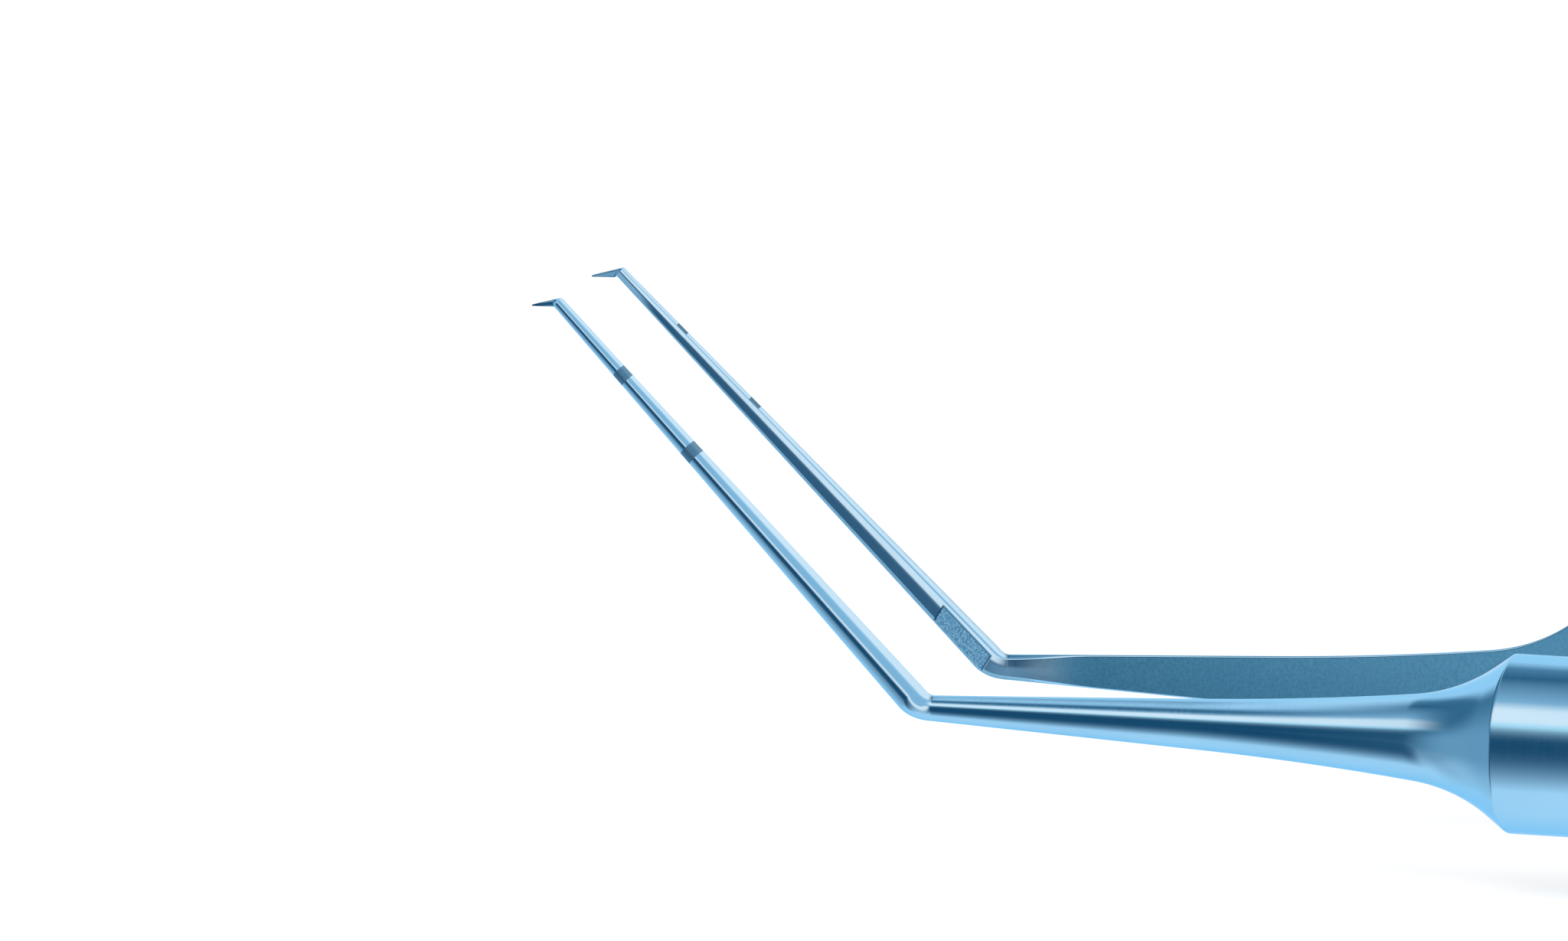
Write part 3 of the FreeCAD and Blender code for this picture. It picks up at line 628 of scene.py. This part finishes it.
def make_object(name, shell, side, materials):
    """A mesh in the row frame. side is -1 for the near arm and 1 for its mirror."""
    turn = np.array([[math.cos(TOE_IN), math.sin(TOE_IN), 0],
                     [-math.sin(TOE_IN), math.cos(TOE_IN), 0], [0, 0, 1.0]])
    spots = np.array(shell.spots) @ turn.T
    spots += np.array([ELBOW_PLACE, -ELBOW_HALF_GAP, AXIS_HEIGHT])
    normals = np.array(shell.normals) @ turn.T
    faces = shell.faces
    if side > 0:
        spots[:, 1] *= -1
        normals[:, 1] *= -1
        turned_normals, flipped, at = [], [], 0
        for f in faces:
            flipped.append(f[::-1])
            turned_normals.append(normals[at:at + len(f)][::-1])
            at += len(f)
        faces, normals = flipped, np.concatenate(turned_normals)
    mesh = bpy.data.meshes.new(name)
    mesh.from_pydata([tuple(p) for p in spots * MM], [], faces)
    mesh.polygons.foreach_set("use_smooth", [True] * len(faces))
    mesh.polygons.foreach_set("material_index", shell.slots)
    grain = mesh.attributes.new("blast", "FLOAT", "POINT")
    grain.data.foreach_set("value", shell.blast)
    for m in materials:
        mesh.materials.append(m)
    mesh.update()
    mesh.normals_split_custom_set([tuple(n) for n in normals])
    obj = bpy.data.objects.new(name, mesh)
    bpy.context.scene.collection.objects.link(obj)
    return obj


def make_arm(name, side, materials):
    shell = Shell()
    stations = tip_stations() + shaft_stations(NEAR_MARKS if side < 0 else FAR_MARKS)
    stations += elbow_stations() + handle_stations()
    low, high = HOLE_COLUMNS

    def slot_of(i, j):
        if j < FACE_POINTS - 1 and stations[i].blast:
            return BLASTED
        round_outside = FACE_POINTS <= j < FACE_POINTS + CORNER_STEPS + ARC_STEPS
        return MARKED if stations[i].mark and round_outside else POLISHED

    def skip(i, j):
        return side < 0 and low <= j < high and hole_span(stations, i)

    index = sweep(shell, stations, slot_of, skip)
    if side < 0:
        guide_hole(shell, stations, index)
    else:
        platform(shell)
    tip_platform(shell)
    leaf(shell)
    return make_object(name, shell, side, materials)


# Shader helpers

def linear(value):
    """Linear light of an sRGB value from 0 to 1."""
    return value / 12.92 if value <= 0.04045 else ((value + 0.055) / 1.055) ** 2.4


def hexcolour(text):
    return tuple(linear(int(text[i:i + 2], 16) / 255) for i in (0, 2, 4)) + (1.0,)


class Nodes:
    def __init__(self, tree):
        self.tree = tree
        tree.nodes.clear()

    def add(self, kind, **settings):
        node = self.tree.nodes.new(kind)
        for key, value in settings.items():
            setattr(node, key, value)
        return node

    def link(self, a, b):
        self.tree.links.new(a, b)

    def put(self, socket, value):
        if isinstance(value, bpy.types.NodeSocket):
            self.link(value, socket)
        else:
            socket.default_value = value

    def math(self, operation, a, b=0.0, clamp=False):
        node = self.add("ShaderNodeMath", operation=operation, use_clamp=clamp)
        self.put(node.inputs[0], a)
        self.put(node.inputs[1], b)
        return node.outputs[0]

    def step(self, value, low, high, out_low=0.0, out_high=1.0):
        node = self.add("ShaderNodeMapRange", interpolation_type="SMOOTHSTEP")
        for i, v in enumerate((value, low, high, out_low, out_high)):
            self.put(node.inputs[i], v)
        return node.outputs[0]

    def mix(self, factor, a, b):
        node = self.add("ShaderNodeMix", data_type="RGBA")
        self.put(node.inputs[0], factor)
        self.put(node.inputs[6], a)
        self.put(node.inputs[7], b)
        return node.outputs[2]

    def between(self, value, low, high):
        """From 0 at low to 1 at high in a straight line."""
        socket = self.step(value, low, high)
        socket.node.interpolation_type = "LINEAR"
        return socket

    def times(self, a, b):
        node = self.add("ShaderNodeMix", data_type="RGBA", blend_type="MULTIPLY")
        node.inputs[0].default_value = 1.0
        self.put(node.inputs[6], a)
        self.put(node.inputs[7], b)
        return node.outputs[2]

    def ramp(self, value, stops):
        node = self.add("ShaderNodeValToRGB")
        elements = node.color_ramp.elements
        while len(elements) < len(stops):
            elements.new(0.5)
        for element, (place, colour) in zip(elements, stops):
            element.position = place
            element.color = colour
        self.put(node.inputs[0], value)
        return node.outputs[0]

    def noise(self, vector, scale, detail=2.0, rough=0.5):
        node = self.add("ShaderNodeTexNoise")
        self.put(node.inputs["Vector"], vector)
        node.inputs["Scale"].default_value = scale
        node.inputs["Detail"].default_value = detail
        node.inputs["Roughness"].default_value = rough
        return node.outputs["Fac"]

    def stretched(self, vector, scale):
        node = self.add("ShaderNodeMapping")
        self.put(node.inputs["Vector"], vector)
        node.inputs["Scale"].default_value = scale
        return node.outputs[0]


BLUE = hexcolour("9ED6FA")
BLUE_DEEP = hexcolour("8CC6EC")
BLUE_EDGE = (0.52, 0.80, 1.0, 1.0)
PLAIN_EDGE = (1.0, 1.0, 1.0, 1.0)
NOISE_LOW, NOISE_HIGH = 0.3, 0.7

# Noise scales, in waves per metre
DRIFT = 300
EDGE_GRAIN = 9000
BLAST_GRAIN = 16000
SATIN_GRAIN = 20000
PLATFORM_GRAIN = 24000
MARK_GRAIN = 30000
POLISH_LINES = (14000, 900, 900)
GRINDING_LINES = (900, 24000, 900)

# Where the painted shade on the blasted faces gives way to a lighter blue: from front to rear,
# and from low to high, in metres
PAINTED_SHADE_TO_REAR = (-0.045, -0.032)
PAINTED_SHADE_TO_TOP = (0.0022, 0.0046)


def new_material(name, edge=BLUE_EDGE):
    """A metal with its place in the object's own coordinates."""
    material = bpy.data.materials.new(name)
    material.use_nodes = True
    nodes = Nodes(material.node_tree)
    out = nodes.add("ShaderNodeOutputMaterial")
    shader = nodes.add("ShaderNodeBsdfPrincipled")
    shader.inputs["Specular Tint"].default_value = edge
    shader.inputs["Metallic"].default_value = 1.0
    nodes.link(shader.outputs[0], out.inputs[0])
    place = nodes.add("ShaderNodeTexCoord").outputs["Object"]
    return material, nodes, shader, place


def add_bump(n, shader, height, distance, strength):
    bump = n.add("ShaderNodeBump")
    bump.inputs["Distance"].default_value = distance
    n.put(bump.inputs["Strength"], strength)
    n.link(height, bump.inputs["Height"])
    n.link(bump.outputs[0], shader.inputs["Normal"])


def clouded_metal(name, scale, dark, light, roughness):
    """Metal whose shade and roughness drift with a fine noise."""
    material, n, shader, place = new_material(name)
    cloud = n.noise(place, scale)
    n.link(n.mix(cloud, hexcolour(dark), hexcolour(light)), shader.inputs["Base Color"])
    n.link(n.step(cloud, NOISE_LOW, NOISE_HIGH, *roughness), shader.inputs["Roughness"])
    return material


def laser_mark():
    """A band darkened by laser."""
    return clouded_metal("laser_mark", MARK_GRAIN, "4F83A8", "5E93B8", (0.40, 0.50))


def painted_shade_edge():
    """Walls and bevels of the raised faces, in a darker blue that is painted shade."""
    return clouded_metal("painted_shade_edge", EDGE_GRAIN, "356A8F", "3F779D", (0.22, 0.30))


def satin_face():
    """The ground gripping face of each tip."""
    return clouded_metal("satin_face", SATIN_GRAIN, "72BAE6", "7EC6F2", (0.40, 0.46))


def blue_titanium():
    """Polished anodised titanium with faint lines across it."""
    material, n, shader, place = new_material("blue_titanium")
    lines = n.noise(n.stretched(place, POLISH_LINES), 1.0)
    cloud = n.noise(place, DRIFT, 3.0)
    n.link(n.mix(cloud, BLUE_DEEP, BLUE), shader.inputs["Base Color"])
    n.link(n.step(lines, 0.3, 0.75, 0.09, 0.12), shader.inputs["Roughness"])
    add_bump(n, shader, lines, distance=0.0000002, strength=0.15)
    return material


def blasted_titanium_and_shade():
    """The flat inner faces: finely blasted where the attribute says so, with painted shade that
    darkens them towards the front and towards the bottom.
    """
    material, n, shader, place = new_material("blasted_titanium_and_shade")
    blast = n.add("ShaderNodeAttribute", attribute_name="blast").outputs["Fac"]
    grain = n.noise(place, BLAST_GRAIN, 3.0, 0.6)
    speck = n.step(grain, NOISE_LOW, NOISE_HIGH)
    parts = n.add("ShaderNodeSeparateXYZ")
    n.link(place, parts.inputs[0])
    # painted shade: the blasted blue is darker towards the front and lighter towards the rear
    front_blast_painted_shade = n.mix(speck, hexcolour("4B98C2"), hexcolour("57A4CF"))
    rear_blast_painted_light = n.mix(speck, hexcolour("5CAEDC"), hexcolour("68BAE8"))
    blast_with_painted_shade = n.mix(n.step(parts.outputs["X"], *PAINTED_SHADE_TO_REAR), front_blast_painted_shade, rear_blast_painted_light)
    # painted shade: darker low on the face, lighter high up
    high = n.step(parts.outputs["Z"], *PAINTED_SHADE_TO_TOP)
    blast_with_painted_shade = n.times(blast_with_painted_shade, n.mix(high, hexcolour("DCE6EC"), hexcolour("FFFFFF")))
    bright = n.mix(n.noise(place, DRIFT, 3.0), BLUE_DEEP, BLUE)
    n.link(n.mix(blast, bright, blast_with_painted_shade), shader.inputs["Base Color"])
    mixed = n.add("ShaderNodeMix", data_type="FLOAT")
    n.put(mixed.inputs[0], blast)
    mixed.inputs[2].default_value = 0.105
    n.put(mixed.inputs[3], n.step(grain, NOISE_LOW, NOISE_HIGH, 0.34, 0.44))
    n.link(mixed.outputs[0], shader.inputs["Roughness"])
    add_bump(n, shader, grain, distance=0.000004, strength=n.step(blast, 0.5, 1.0, 0.0, 0.5))
    return material


def platform_grain():
    """The coarse blasted top of the tying platform."""
    material, n, shader, place = new_material("platform_grain")
    grain = n.noise(place, PLATFORM_GRAIN, 2.0, 0.6)
    n.link(n.mix(n.step(grain, 0.40, 0.60), hexcolour("5CA2CC"), hexcolour("8ED4FF")),
           shader.inputs["Base Color"])
    n.link(n.step(grain, NOISE_LOW, NOISE_HIGH, 0.55, 0.45), shader.inputs["Roughness"])
    add_bump(n, shader, grain, distance=0.00001, strength=0.6)
    return material


def plain_titanium():
    """Bare ground titanium of the guide pin and the rivets."""
    material, n, shader, place = new_material("plain_titanium", PLAIN_EDGE)
    lines = n.noise(n.stretched(place, GRINDING_LINES), 1.0, 3.0)
    n.link(n.mix(lines, hexcolour("B4B6BA"), hexcolour("CDCFD2")), shader.inputs["Base Color"])
    n.link(n.step(lines, NOISE_LOW, NOISE_HIGH, 0.24, 0.36), shader.inputs["Roughness"])
    return material


# The studio, as the metal reflects it: a pale floor and rear wall, a soft light above the
# front, a strip light beside the camera, a dark ceiling and a dark card at the front left.
# A shade is given as the sRGB green level that the blue metal returns of it, 0 to 255.

METAL_BLUE = (linear(0x9E / 255), linear(0xD6 / 255), linear(0xFA / 255))
RED_BELOW, BLUE_ABOVE = 55, 36


def light_level(level):
    shown = [min(max(v, 0), 255) for v in (level - RED_BELOW, level, level + BLUE_ABOVE)]
    return tuple(linear(s / 255) / b for s, b in zip(shown, METAL_BLUE)) + (1.0,)


SOFT_LIGHT = (1.95, 1.28, 1.05, 1.0)
REAR_WALL = (1.3, 1.1, 1.0, 1.0)
REAR_FLOOR = (0.93, 0.98, 1.0, 1.0)
FRONT = light_level(228)
PALE = light_level(214)
SIDE_HIGH = light_level(208)
SIDE_LOW = light_level(187)
GLOW = light_level(180)
HAZE = light_level(155)
DIM = light_level(130)
LEFT_DARK = light_level(105)
CEILING = light_level(95)
CARD = light_level(72)

# Directions in the studio are unit vectors, x to the right, y to the rear and z up. Each
# pair is the coordinate at which a change begins and the one at which it is complete.
OVER_FADE = (26, 36)
SHANK_RIGHT, SHANK_LEFT = (-0.335, -0.375), (-0.48, -0.385)
CARD_MIDDLE, FLOOR_BEGINS, FRONT_BEGINS = 0.133, -0.77, 0.52
FLOOR_FALL, FRONT_FALL = 2.4, 3.0
CARD_BEND, CARD_LEAN, CARD_LEAN_START = 0.32, 3.4, 0.4
CARD_LINE, CARD_LINE_FADE, CARD_LEFT_FADE = 0.137, (0.30, 0.10), (-0.66, -0.54)
REAR_FLOOR_FADE = (-0.1, 0.45)
WALL_FOOT, WALL_TOP, WALL_REAR = (-0.65, -0.20), (0.05, 0.45), (0.32, 0.58)
SOFT_LEFT, SOFT_HEIGHT, FAR_LEFT = (0.42, 0.92), (-0.62, -0.20), (0.72, 0.95)
SIDE_SHADE = (-0.6, -0.2)
STRIP_SIDE, STRIP_HEIGHT = (0.06, -0.02), (0.42, 0.2)
TOP_DEPTH, TOP_HEIGHT = (-0.38, -0.14), (0.33, 0.44)
DIVIDE_HEIGHT, DIVIDE_START, DIVIDE_END = (0.35, 0.65), (-0.10, 0.22), -0.27


def round_handle(n, turn, stops):
    """A ramp by degrees round the handle's axis, from the front over the top."""
    return n.ramp(turn, [(degrees / 180, shade) for degrees, shade in stops])


def upper_half(n, x, turn):
    """Soft light, dark ceiling and rear wall; the ceiling is narrow where the shank looks."""
    wide = round_handle(n, turn, [(33, FRONT), (38, SOFT_LIGHT), (53, SOFT_LIGHT), (64, GLOW),
                                  (101, CEILING), (120, DIM), (136, PALE), (168, REAR_WALL)])
    narrow = round_handle(n, turn, [(30, FRONT), (35, SOFT_LIGHT), (47, SOFT_LIGHT), (56, HAZE),
                                    (65, CEILING), (74, CEILING), (84, GLOW), (94, PALE),
                                    (168, REAR_WALL)])
    at_shank = n.math("MULTIPLY", n.step(x, *SHANK_RIGHT), n.step(x, *SHANK_LEFT))
    return n.mix(at_shank, wide, narrow)


def lower_half(n, x, y, z):
    """Pale floor and front, and between them the dark card, which leans down to the left."""
    beyond = n.math("SUBTRACT", n.math("MULTIPLY", x, -1.0), CARD_BEND)
    beyond = n.math("MAXIMUM", beyond, 0.0)
    lean = n.math("SUBTRACT", n.math("MULTIPLY", y, -CARD_LEAN), CARD_LEAN_START)
    lean = n.math("MAXIMUM", lean, 0.0)
    off_line = n.math("SUBTRACT", n.math("SUBTRACT", z, x), CARD_LINE)
    lean = n.math("MULTIPLY", lean, n.step(off_line, *CARD_LINE_FADE))
    lean = n.math("MULTIPLY", lean, n.step(x, *CARD_LEFT_FADE))
    height = n.math("ADD", z, n.math("MULTIPLY", beyond, lean))
    floor = n.math("POWER", n.between(height, CARD_MIDDLE, FLOOR_BEGINS), FLOOR_FALL)
    front = n.math("POWER", n.between(height, CARD_MIDDLE, FRONT_BEGINS), FRONT_FALL)
    shade = n.mix(front, n.mix(floor, CARD, PALE), FRONT)
    return n.mix(n.step(y, *REAR_FLOOR_FADE), shade, REAR_FLOOR)


def left_end(n, y, z):
    """Straight to the left the bands fade into one soft wall, darker above."""
    wall = n.mix(n.step(z, *WALL_FOOT), PALE, HAZE)
    wall = n.mix(n.step(z, *WALL_TOP), wall, LEFT_DARK)
    return n.mix(n.step(y, *WALL_REAR), wall, PALE)


def right_half(n, x, y, z):
    """A grey side, a strip light beside the camera and a soft light overhead."""
    grey = n.mix(n.step(y, *SIDE_SHADE), SIDE_LOW, SIDE_HIGH)
    strip = n.math("MULTIPLY", n.step(x, *STRIP_SIDE), n.step(z, *STRIP_HEIGHT))
    top = n.math("MULTIPLY", n.step(y, *TOP_DEPTH), n.step(z, *TOP_HEIGHT))
    return n.mix(n.math("MAXIMUM", strip, top), grey, SOFT_LIGHT)


def studio(n):
    """Colour of the studio by direction, for what the metal reflects."""
    direction = n.add("ShaderNodeTexCoord").outputs["Generated"]
    parts = n.add("ShaderNodeSeparateXYZ")
    n.link(direction, parts.inputs[0])
    x, y, z = parts.outputs
    to_front = n.math("MULTIPLY", y, -1.0)
    turn = n.math("DIVIDE", n.math("ARCTAN2", z, to_front), math.pi)
    is_over = n.step(turn, *[degrees / 180 for degrees in OVER_FADE])
    left = n.mix(is_over, lower_half(n, x, y, z), upper_half(n, x, turn))
    to_left = n.math("MULTIPLY", x, -1.0)
    soft = n.math("MULTIPLY", n.step(to_left, *SOFT_LEFT), n.step(z, *SOFT_HEIGHT))
    soft = n.math("MAXIMUM", soft, n.step(to_left, *FAR_LEFT))
    left = n.mix(soft, left, left_end(n, y, z))
    divide = n.step(z, *DIVIDE_HEIGHT, *DIVIDE_START)
    return n.mix(n.step(x, divide, DIVIDE_END), right_half(n, x, y, z), left)


def make_world():
    """White for the camera and for plain light, the studio for what the metal shows."""
    world = bpy.data.worlds.new("studio")
    world.use_nodes = True
    bpy.context.scene.world = world
    n = Nodes(world.node_tree)
    out = n.add("ShaderNodeOutputWorld")
    seen = n.add("ShaderNodeBackground")
    seen.inputs["Color"].default_value = (1, 1, 1, 1)
    seen.inputs["Strength"].default_value = 1.0
    mirrored = n.add("ShaderNodeBackground")
    n.link(studio(n), mirrored.inputs["Color"])
    rays = n.add("ShaderNodeLightPath")
    glossy = n.math("MAXIMUM", rays.outputs["Is Glossy Ray"],
                    rays.outputs["Is Transmission Ray"])
    pick = n.add("ShaderNodeMixShader")
    n.link(glossy, pick.inputs[0])
    n.link(seen.outputs[0], pick.inputs[1])
    n.link(mirrored.outputs[0], pick.inputs[2])
    n.link(pick.outputs[0], out.inputs["Surface"])


FLOOR_HALF = 1.5
FLOOR_GREY = (0.9, 0.9, 0.9, 1)
FLOOR_GLOW = 0.72


def make_floor():
    """A plain white floor that keeps the shadow of the forceps."""
    half = FLOOR_HALF
    mesh = bpy.data.meshes.new("floor")
    mesh.from_pydata([(-half, -half, 0), (half, -half, 0), (half, half, 0), (-half, half, 0)],
                     [], [(0, 1, 2, 3)])
    floor = bpy.data.objects.new("floor", mesh)
    bpy.context.scene.collection.objects.link(floor)
    material = bpy.data.materials.new("floor_white")
    material.use_nodes = True
    n = Nodes(material.node_tree)
    out = n.add("ShaderNodeOutputMaterial")
    paper = n.add("ShaderNodeBsdfDiffuse")
    paper.inputs["Color"].default_value = FLOOR_GREY
    glow = n.add("ShaderNodeEmission")
    glow.inputs["Color"].default_value = (1, 1, 1, 1)
    rays = n.add("ShaderNodeLightPath")
    seen = n.math("MAXIMUM", rays.outputs["Is Camera Ray"], rays.outputs["Is Glossy Ray"])
    seen = n.math("MAXIMUM", seen, rays.outputs["Is Transmission Ray"])
    both = n.add("ShaderNodeMixShader")
    n.link(n.math("MULTIPLY", seen, FLOOR_GLOW), both.inputs[0])
    n.link(paper.outputs[0], both.inputs[1])
    n.link(glow.outputs[0], both.inputs[2])
    n.link(both.outputs[0], out.inputs["Surface"])
    mesh.materials.append(material)
    floor.visible_glossy = False


LAMP_SIZE = 0.25
LAMP_POWER = 0.9
LAMP_PLACE = (-0.12, -0.12, 0.32)
LAMP_AIM = (-0.02, 0, 0)


def make_lamp():
    """One soft lamp above the front left, which casts the shadow."""
    lamp = bpy.data.lights.new("soft_light", "AREA")
    lamp.shape = "DISK"
    lamp.size = LAMP_SIZE
    lamp.energy = LAMP_POWER
    light = bpy.data.objects.new("soft_light", lamp)
    light.location = LAMP_PLACE
    aim = Vector(LAMP_AIM) - Vector(LAMP_PLACE)
    light.rotation_euler = aim.to_track_quat("-Z", "Y").to_euler()
    light.visible_glossy = False
    bpy.context.scene.collection.objects.link(light)


CAMERA_AZIMUTH, CAMERA_ELEVATION = math.radians(18.0), math.radians(9.7)
CAMERA_DISTANCE = 0.75
CAMERA_SENSOR = 36.0
FRAME_WIDTH = 37.69 * MM
FRAME_CENTRE = (-49.415, 0.059, 8.431)


def make_camera():
    """At the photograph's angle, with a long lens, so that the view is nearly parallel."""
    back = Vector((math.sin(CAMERA_AZIMUTH) * math.cos(CAMERA_ELEVATION),
                   -math.cos(CAMERA_AZIMUTH) * math.cos(CAMERA_ELEVATION),
                   math.sin(CAMERA_ELEVATION)))
    data = bpy.data.cameras.new("camera")
    data.sensor_width = CAMERA_SENSOR
    data.lens = CAMERA_SENSOR * CAMERA_DISTANCE / FRAME_WIDTH
    data.clip_start, data.clip_end = 0.01, 10.0
    camera = bpy.data.objects.new("camera", data)
    camera.location = Vector(FRAME_CENTRE) * MM + back * CAMERA_DISTANCE
    camera.rotation_euler = (-back).to_track_quat("-Z", "Y").to_euler()
    bpy.context.scene.collection.objects.link(camera)
    bpy.context.scene.camera = camera


# The forceps

blue, plain = blue_titanium(), plain_titanium()
finishes = [blue, laser_mark(), platform_grain(), blasted_titanium_and_shade(), painted_shade_edge(),
            satin_face()]
near = make_arm("near_arm_fine", -1, finishes)
near.visible_glossy = False
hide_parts("near_arm")
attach(near, "near_half")
far = make_arm("far_arm_fine", 1, finishes)
far.visible_glossy = False
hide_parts("far_arm")
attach(far, "far_half")

for node, material in (("tail", blue), ("tail_rivets", plain), ("guide_pin", plain)):
    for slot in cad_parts[node].material_slots:
        slot.material = material

make_floor()
make_lamp()
make_world()
make_camera()
bpy.context.scene.view_settings.view_transform = "Standard"
